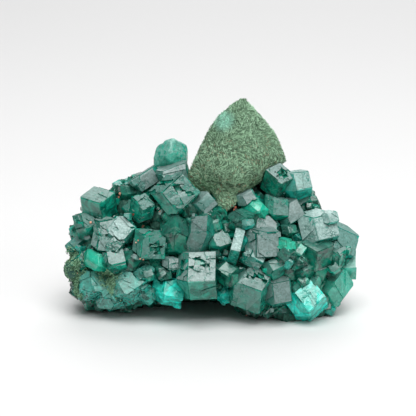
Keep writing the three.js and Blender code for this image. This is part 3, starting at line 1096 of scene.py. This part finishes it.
    def open_breaks(self, piece: bpy.types.Object, key: int, normal: Vector, growth: Growth,
                    draw: random.Random) -> None:
        """Sink two ragged trenches that run across a face from side to side.

        Args:
            piece: The crystal.
            key: The face's growth mark.
            normal: The face's normal.
            growth: How the crystal grows.
            draw: The crystal's random numbers.
        """
        mesh = bmesh.from_edit_mesh(piece.data)
        mark = mesh.faces.layers.int["growth"]
        cells = [face for face in mesh.faces if face[mark] == key and face.normal.dot(normal) > self.same_way
                 and all(other[mark] == key for edge in face.edges for other in edge.link_faces)]
        if len(cells) < self.fewest_cells:
            return
        centres = [face.calc_center_median() for face in cells]
        middle = sum(centres, Vector()) / len(centres)
        back = (Vector((0, 1, 0)) - normal * normal.y).normalized()
        aside = back.cross(normal)
        reach = max(abs((centre - middle).dot(back)) for centre in centres)
        chosen = set()
        for offset, span in ((draw.uniform(-0.1, 0.1), 1.2), (draw.uniform(0.45, 0.65), 0.7)):
            phase = draw.uniform(0, math.tau)
            for face, centre in zip(cells, centres):
                along, across = (centre - middle).dot(aside), (centre - middle).dot(back)
                wave = (offset + 0.2 * math.sin(2.2 * along / reach + phase)) * reach
                near = abs(across - wave) < growth.break_width and abs(along) < span * reach
                if near and draw.random() < 0.9:
                    chosen.add(face.index)
        if chosen:
            pick_faces(piece, lambda face: face.index in chosen)
            sink = normal * -self.trench_depth * reach
            bpy.ops.mesh.extrude_region_move(TRANSFORM_OT_translate={"value": sink})
            mesh = bmesh.from_edit_mesh(piece.data)
            mark, level = mesh.faces.layers.int["growth"], mesh.faces.layers.int["level"]
            for face in mesh.faces:
                if face.select or (face[mark] == key and abs(face.normal.dot(normal)) < 0.5):
                    face[level] = -1

    def is_blunting(self, piece: bpy.types.Object, face: bpy.types.MeshPolygon) -> bool:
        """Say whether a face is one of the narrow ones along a blunted edge."""
        corners = [piece.data.vertices[index].co for index in face.vertices]
        longest = max((corner - corners[number - 1]).length for number, corner in enumerate(corners))
        return face.area < self.edge * longest and longest > 4 * self.edge

    def contrast(self, share: float) -> float:
        """Push a share of painted sheen towards none or all."""
        eased = min(1.0, max(0.0, (share - self.film_from) / self.film_span))
        return eased * eased * (3 - 2 * eased)

    def paint_sheen(self, piece: bpy.types.Object, tone: Tone) -> None:
        """Say how much painted sheen, a painted reflection of the lamps, each face carries: most on raised
        plates that look up or forward, none on walls, and a painted highlight along blunted edges.

        Args:
            piece: The crystal.
            tone: Its tone.
        """
        draw = random.Random(piece.name)
        front = self.front_sheen.get(tone, self.usual_front) * draw.uniform(0.7, 1.15)
        most = self.most_sheen.get(tone, self.usual_most)
        levels = piece.data.attributes.get("level")
        film = []
        for number, face in enumerate(piece.data.polygons):
            level = levels.data[number].value if levels else 1
            # Painted reflection: faces that look up or towards the camera carry the most sheen, side and
            # downward faces none.
            side = 0.0 if abs(face.normal.x) > 0.75 or face.normal.z < -0.5 else 1.0
            open_way = side * (1.5 * max(0.0, face.normal.z - 0.1) + front * max(0.0, -face.normal.y))
            share = {-1: 0.0, 0: 0.62, 1: draw.uniform(0.88, 1.05)}[level]
            # Painted highlight: the narrow faces along blunted edges that look up or forward carry some
            # sheen.
            edge_catches_light = level == 0 and self.is_blunting(piece, face) and face.normal.z > -0.3
            edge_highlight_share = self.edge_highlight if edge_catches_light else 0.0
            film.append(most * max(edge_highlight_share, self.contrast(min(1.0, open_way * share))))
        for old in ("film", "tint", "growth", "level"):
            if old in piece.data.attributes:
                piece.data.attributes.remove(piece.data.attributes[old])
        piece.data.attributes.new("film", "FLOAT", "FACE").data.foreach_set("value", film)


@dataclass
class CoatedCalcite:
    """The coated calcite crystal: a lumpy body under a felt of needles."""

    node: bpy.types.Object
    seed: int = 5
    grain: float = 0.45 * MM
    needles: int = 12000
    length: float = 1.35 * MM
    thickness: float = 0.082 * MM
    body_tint: float = 0.12
    rooting: float = 0.12  # millimetres
    rusty_tint: float = 1.7
    rusty_share: float = 0.05
    rusty_below: float = 44 * MM

    def build(self, material: bpy.types.Material) -> None:
        """Make the body and its needles.

        Args:
            material: The needle felt.
        """
        body = copy_of(self.node, "calcite_body", 0.05 * MM)
        apply_modifier(body, "REMESH", mode="VOXEL", voxel_size=self.grain)
        apply_modifier(body, "SMOOTH", factor=0.7, iterations=12)
        roughen(body, "CLOUDS", 2.5 * MM, 0.7 * MM, 0.62)
        smooth_by_angle(body, 60.0)
        body.data.attributes.new("tint", "FLOAT", "POINT").data.foreach_set(
            "value", np.full(len(body.data.vertices), self.body_tint, np.float32)
        )
        body.data.materials.append(material)
        hand_over(body, "needle_coat", self.node.name)
        coat = self.coat(body)
        coat.data.materials.append(material)
        hand_over(coat, "needle_coat")

    def needle(self) -> bpy.types.Object:
        """Model one needle along X: a thin four-sided rod drawn out to a point at both ends."""
        rod = {"vertices": 4, "radius": self.thickness, "depth": self.length * 0.5}
        piece = add_shape(bpy.ops.mesh.primitive_cylinder_add, **rod)
        with editing(piece):
            for end in (-1, 1):
                pick_faces(piece, lambda face: face.normal.z * end > 0.9)
                bpy.ops.mesh.extrude_region_move(
                    TRANSFORM_OT_translate={"value": (0, 0, end * self.length * 0.25)}
                )
                bpy.ops.mesh.merge(type="CENTER")
            bpy.ops.mesh.select_all(action="SELECT")
            bpy.ops.mesh.normals_make_consistent(inside=False)
        piece.data.transform(Matrix.Rotation(math.radians(90), 4, "Y"))
        return piece

    def coat(self, body: bpy.types.Object) -> bpy.types.Object:
        """Strew needles over the body in swirls, most of them leaning a little off it.

        Args:
            body: The crystal's body.

        Returns:
            The coat.
        """
        draw = random.Random(self.seed)
        pattern = self.needle()
        places, tints = [], []
        for at, normal in strewn(body, self.needles, draw):
            swirl = math.sin(at.x / (2.3 * MM) + 1.7 * math.sin(at.z / (3.1 * MM))) * 1.6 + at.z / (4 * MM)
            heading = Matrix.Rotation(swirl + draw.gauss(0, 0.6), 3, "Z")
            rise = Matrix.Rotation(-math.radians(draw.triangular(-4, 50, 10)), 3, "Y")
            turn = upright_on(normal) @ heading @ rise
            size = draw.uniform(0.6, 1.25)
            place = Matrix.LocRotScale(at + normal * self.rooting * MM, turn.to_quaternion(), (size, 1, 1))
            places.append(place)
            rusty = draw.random() < self.rusty_share and at.z < self.rusty_below
            tints.append(self.rusty_tint if rusty else min(1.0, max(0.0, draw.gauss(0.62, 0.4))))
        coat = join_copies("calcite_needles", [pattern], places, [0] * len(places), tints)
        bpy.data.objects.remove(pattern)
        return coat


def strewn(body: bpy.types.Object, count: int, draw: random.Random) -> Iterator[tuple[Vector, Vector]]:
    """Choose places evenly over a body's surface.

    Args:
        body: The body.
        count: How many places.
        draw: The random numbers.

    Yields:
        Each place and the surface's normal there.
    """
    data = body.data
    data.calc_loop_triangles()
    triangles = list(data.loop_triangles)
    edges = np.cumsum([triangle.area for triangle in triangles])
    picks = np.searchsorted(edges, [draw.random() * edges[-1] for _ in range(count)])
    for pick in picks:
        a, b, c = (data.vertices[corner].co for corner in triangles[pick].vertices)
        u, v = draw.random(), draw.random()
        if u + v > 1:
            u, v = 1 - u, 1 - v
        yield a + (b - a) * u + (c - a) * v, triangles[pick].normal.copy()


@dataclass
class MatrixRock:
    """The rock: a rough skin, a crust of small crystals wherever it shows, and rusty specks."""

    node: bpy.types.Object
    surroundings: Surroundings
    rusty_places: tuple[tuple[float, float, float], ...] = (
        (-30.2, -6.1, 23.3), (-22.3, -1.1, 29.1), (-24.6, -11.4, 17.2), (-16.4, -5.5, 22.4),
        (-18.6, -6.6, 26.2), (-16.5, -13.2, 16.9), (-18.0, -10.8, 20.8), (-20.0, -8.0, 23.0),
        (5.5, -6.0, 27.0), (25.0, -9.5, 15.5),
    )
    seed: int = 11
    grain: float = 0.6 * MM
    spacing: float = 1.35 * MM
    views: int = 16
    sole: float = 0.25 * MM
    crust_from: float = 1.6 * MM
    back_from: float = 6 * MM
    speck: float = 0.3 * MM
    rusty_share: float = 0.14
    rusty_front: float = 2 * MM

    def build(self, stone: bpy.types.Material, tones: dict[Tone, bpy.types.Material],
              rust: bpy.types.Material) -> None:
        """Make the rock, its crust and its specks.

        Args:
            stone: The rock's material.
            tones: Each tone's material.
            rust: The specks' material.
        """
        rock = copy_of(self.node, "rock_body", 0.02 * MM)
        apply_modifier(rock, "REMESH", mode="VOXEL", voxel_size=self.grain)
        roughen(rock, "VORONOI", 6.0 * MM, 3.4 * MM, 0.35)
        roughen(rock, "CLOUDS", 2.5 * MM, 1.6 * MM, 0.6, detail=5)
        press_flat(rock, self.sole)
        smooth_by_angle(rock, 30.0)
        rock.data.materials.append(stone)
        hand_over(rock, "rock", self.node.name)
        spots = self.showing()
        self.crust(spots, tones)
        self.specks(spots, rust)

    def showing(self) -> list[Spot]:
        """Find where the rock shows between the crystals, seen from the front, the sides and above.

        Returns:
            Places at least the spacing apart.
        """
        taken: dict[tuple[int, int, int], Spot] = {}
        for view in range(self.views):
            rise = math.radians(-5 + 80 * ((view * GOLDEN) % 1.0))
            turn = math.radians(-100 + 200 * view / (self.views - 1))
            eye = Vector((math.sin(turn) * math.cos(rise), -math.cos(turn) * math.cos(rise), math.sin(rise)))
            for spot in self.surroundings.seen_from(eye, self.spacing * 0.8, 45 * MM):
                if spot.owner == self.node.name:
                    taken.setdefault(tuple(int(part // self.spacing) for part in spot.at), spot)
        return list(taken.values())

    def small_crystal(self, stretch: float, blunting: float) -> bpy.types.Object:
        """Model one small crystal about 2 mm across: a block with cut edges, stretched along one way."""
        piece = add_shape(bpy.ops.mesh.primitive_cube_add, size=2 * MM)
        with editing(piece):
            bpy.ops.mesh.select_all(action="SELECT")
            bpy.ops.mesh.bevel(offset=blunting, segments=1, affect="EDGES")
            bpy.ops.transform.resize(value=(1, 1, stretch), center_override=(0, 0, 0))
        return piece

    def crust(self, spots: Sequence[Spot], materials: dict[Tone, bpy.types.Material]) -> None:
        """Strew small crystals where the rock shows, sorted into a piece for each tone.

        Args:
            spots: Where the rock shows.
            materials: Each tone's material.
        """
        draw = random.Random(self.seed)
        patterns = [self.small_crystal(1.0, 0.12 * MM), self.small_crystal(1.35, 0.3 * MM),
                    self.small_crystal(0.7, 0.2 * MM)]
        shares = {Tone.DEEP: 0.6, Tone.GREEN: 0.2, Tone.ICE: 0.13, Tone.TEAL: 0.07}
        sorted_places: dict[Tone, list[tuple[Matrix, int]]] = {tone: [] for tone in shares}
        for spot in spots:
            if spot.at.z < self.crust_from or draw.random() < self.bareness(spot):
                continue
            tone = draw.choices(list(shares), list(shares.values()))[0]
            size = draw.triangular(0.25, 0.8, 0.4) if tone is Tone.ICE else draw.triangular(0.4, 1.7, 0.7)
            turn = Matrix.Rotation(draw.uniform(0, math.tau), 3, "Z")
            turn = upright_on(spot.normal) @ (turn @ Matrix.Rotation(draw.gauss(0, 0.7), 3, "X"))
            at = spot.at + spot.normal * 0.35 * size * MM
            place = Matrix.LocRotScale(at, turn.to_quaternion(), (size,) * 3)
            sorted_places[tone].append((place, draw.randrange(len(patterns))))
        for tone, rows in sorted_places.items():
            places, picks = zip(*rows)
            # Painted sheen on the small crystals: strong on the ice ones, where it stands in for glints, and
            # random and weaker on the rest.
            crust_sheens = [0.9 if tone is Tone.ICE else draw.choice((0.0, 0.0, 0.1, 0.5)) for _ in places]
            piece = join_copies(f"crust_{tone.name.lower()}", patterns, places, picks, crust_sheens)
            piece.data.materials.append(materials[tone])
            smooth_by_angle(piece, SHARP)
            hand_over(piece, "dioptase")
        for pattern in patterns:
            bpy.data.objects.remove(pattern)

    def bareness(self, spot: Spot) -> float:
        """Return how likely a place is to stay bare: always under the felt, and more so towards the back."""
        if any((spot.at - Vector(centre)).length < reach for centre, reach in FELT_PATCHES):
            return 1.0
        return min(0.97, max(0.0, (spot.at.y - self.back_from) / self.back_from))

    def specks(self, spots: Sequence[Spot], rust: bpy.types.Material) -> None:
        """Strew rusty grains in the gaps.

        Args:
            spots: Where the rock shows.
            rust: The grains' material.
        """
        draw = random.Random(self.seed + 1)
        pattern = add_shape(bpy.ops.mesh.primitive_ico_sphere_add, subdivisions=1, radius=self.speck)
        with editing(pattern):
            bpy.ops.mesh.select_all(action="SELECT")
            bpy.ops.transform.vertex_random(offset=0.08 * MM, seed=3)
        places = []
        for spot in spots:
            if spot.at.y < self.rusty_front and draw.random() < self.rusty_share:
                size = draw.uniform(0.4, 1.2)
                turn = Matrix.Rotation(draw.uniform(0, math.tau), 3, "X").to_quaternion()
                at = spot.at + spot.normal * 0.7 * MM
                places.append(Matrix.LocRotScale(at, turn, (size, size, size * 0.7)))
        for place in self.rusty_places:
            for _ in range(draw.randint(3, 6)):
                at = Vector(place) * MM + Vector([draw.gauss(0, 0.45) * MM for _ in range(3)])
                size = draw.uniform(0.6, 1.3)
                places.append(Matrix.LocRotScale(at, None, (size, size * 0.8, size)))
        piece = join_copies("rusty_specks", [pattern], places, [0] * len(places), [0.5] * len(places))
        bpy.data.objects.remove(pattern)
        piece.data.materials.append(rust)
        hand_over(piece, "rock")


@dataclass
class FeltPatches:
    """Patches of needle felt low on the left of the heap."""

    surroundings: Surroundings
    seed: int = 23
    spacing: float = 0.3 * MM
    frayed_from: float = 0.55
    thickening: float = 1.5

    def build(self, material: bpy.types.Material, pattern: bpy.types.Object) -> None:
        """Strew needles over the patches.

        Args:
            material: The felt.
            pattern: One needle, along X.
        """
        draw = random.Random(self.seed)
        places, tints = [], []
        eyes = [Vector((-0.35, -0.88, 0.32)).normalized(), Vector((-0.85, -0.4, 0.3)).normalized()]
        for eye in eyes:
            for spot in self.surroundings.seen_from(eye, self.spacing, 42 * MM):
                for centre, reach in FELT_PATCHES:
                    away = (spot.at - Vector(centre)).length / reach
                    if away < draw.uniform(self.frayed_from, 1.0):
                        turn = Matrix.Rotation(draw.uniform(0, math.tau), 3, "Z")
                        turn = turn @ Matrix.Rotation(-math.radians(draw.uniform(-5, 65)), 3, "Y")
                        turn = upright_on(spot.normal) @ turn
                        at = spot.at + spot.normal * draw.uniform(0.1, 0.9) * MM
                        size = (draw.uniform(0.5, 0.9), self.thickening, self.thickening)
                        places.append(Matrix.LocRotScale(at, turn.to_quaternion(), size))
                        tints.append(min(1.0, max(0.0, draw.gauss(0.5, 0.35))))
        piece = join_copies("felt_patches", [pattern], places, [0] * len(places), tints)
        piece.data.materials.append(material)
        hand_over(piece, "needle_coat")


@dataclass
class Studio:
    """A pale floor, soft lights and the camera."""

    target: Vector
    distance: float = 0.39
    elevation: float = math.radians(15.0)
    lens: float = 135.0
    floor_size: float = 4.0
    world: float = 0.14
    lights: list[tuple[tuple[float, float, float], float, float]] = field(default_factory=lambda: [
        ((0.04, -0.24, 0.70), 0.60, 6.2),
        ((0.70, -0.45, 0.35), 0.40, 1.6),
        ((0.10, 1.00, 0.90), 1.20, 11.0),
    ])

    def build(self) -> None:
        """Make the floor, the lights, the world and the camera."""
        floor = add_shape(bpy.ops.mesh.primitive_plane_add, size=self.floor_size)
        floor.name = "floor"
        floor.data.materials.append(FloorFinish().material())
        floor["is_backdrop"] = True
        for number, (at, size, power) in enumerate(self.lights):
            aim = (self.target - Vector(at)).to_track_quat("-Z", "Y").to_euler()
            bpy.ops.object.light_add(type="AREA", location=at, rotation=aim)
            light = bpy.context.object
            light.name = f"softbox_{number + 1}"
            light.data.shape = "SQUARE"
            light.data.size = size
            light.data.energy = power
        world = bpy.data.worlds.new("studio")
        world.use_nodes = True
        world.node_tree.nodes["Background"].inputs["Color"].default_value = (1.0, 1.0, 1.0, 1.0)
        world.node_tree.nodes["Background"].inputs["Strength"].default_value = self.world
        bpy.context.scene.world = world
        bpy.context.scene.view_settings.view_transform = "Standard"
        back = Vector((0, -math.cos(self.elevation), math.sin(self.elevation)))
        at = self.target + back * self.distance
        bpy.ops.object.camera_add(location=at, rotation=(-back).to_track_quat("-Z", "Y").to_euler())
        camera = bpy.context.object
        camera.data.lens = self.lens
        camera.data.clip_start = 0.01
        bpy.context.scene.camera = camera


def main() -> None:
    """Build the specimen's pieces in order, then the studio."""
    nodes = frame["nodes"]
    surroundings = Surroundings(nodes)
    tones = {tone: tone.value.material() for tone in Tone}
    rock = MatrixRock(nodes["matrix_rock"], surroundings)
    rock.build(RockFinish().material(), tones, SpeckFinish().material())
    CrystalHeap(nodes, surroundings).build(tones)
    calcite = CoatedCalcite(nodes["coated_calcite"])
    calcite.build(NeedleFinish(blush_at=BLUSH_AT).material())
    moss = NeedleFinish("moss_felt", pale=(0.36, 0.68, 0.42), dark=(0.02, 0.1, 0.04), band_at=-1.0)
    needle = calcite.needle()
    FeltPatches(surroundings).build(moss.material(), needle)
    bpy.data.objects.remove(needle)
    Studio(Vector(CAMERA_TARGET)).build()


if __name__ == "__main__":
    main()
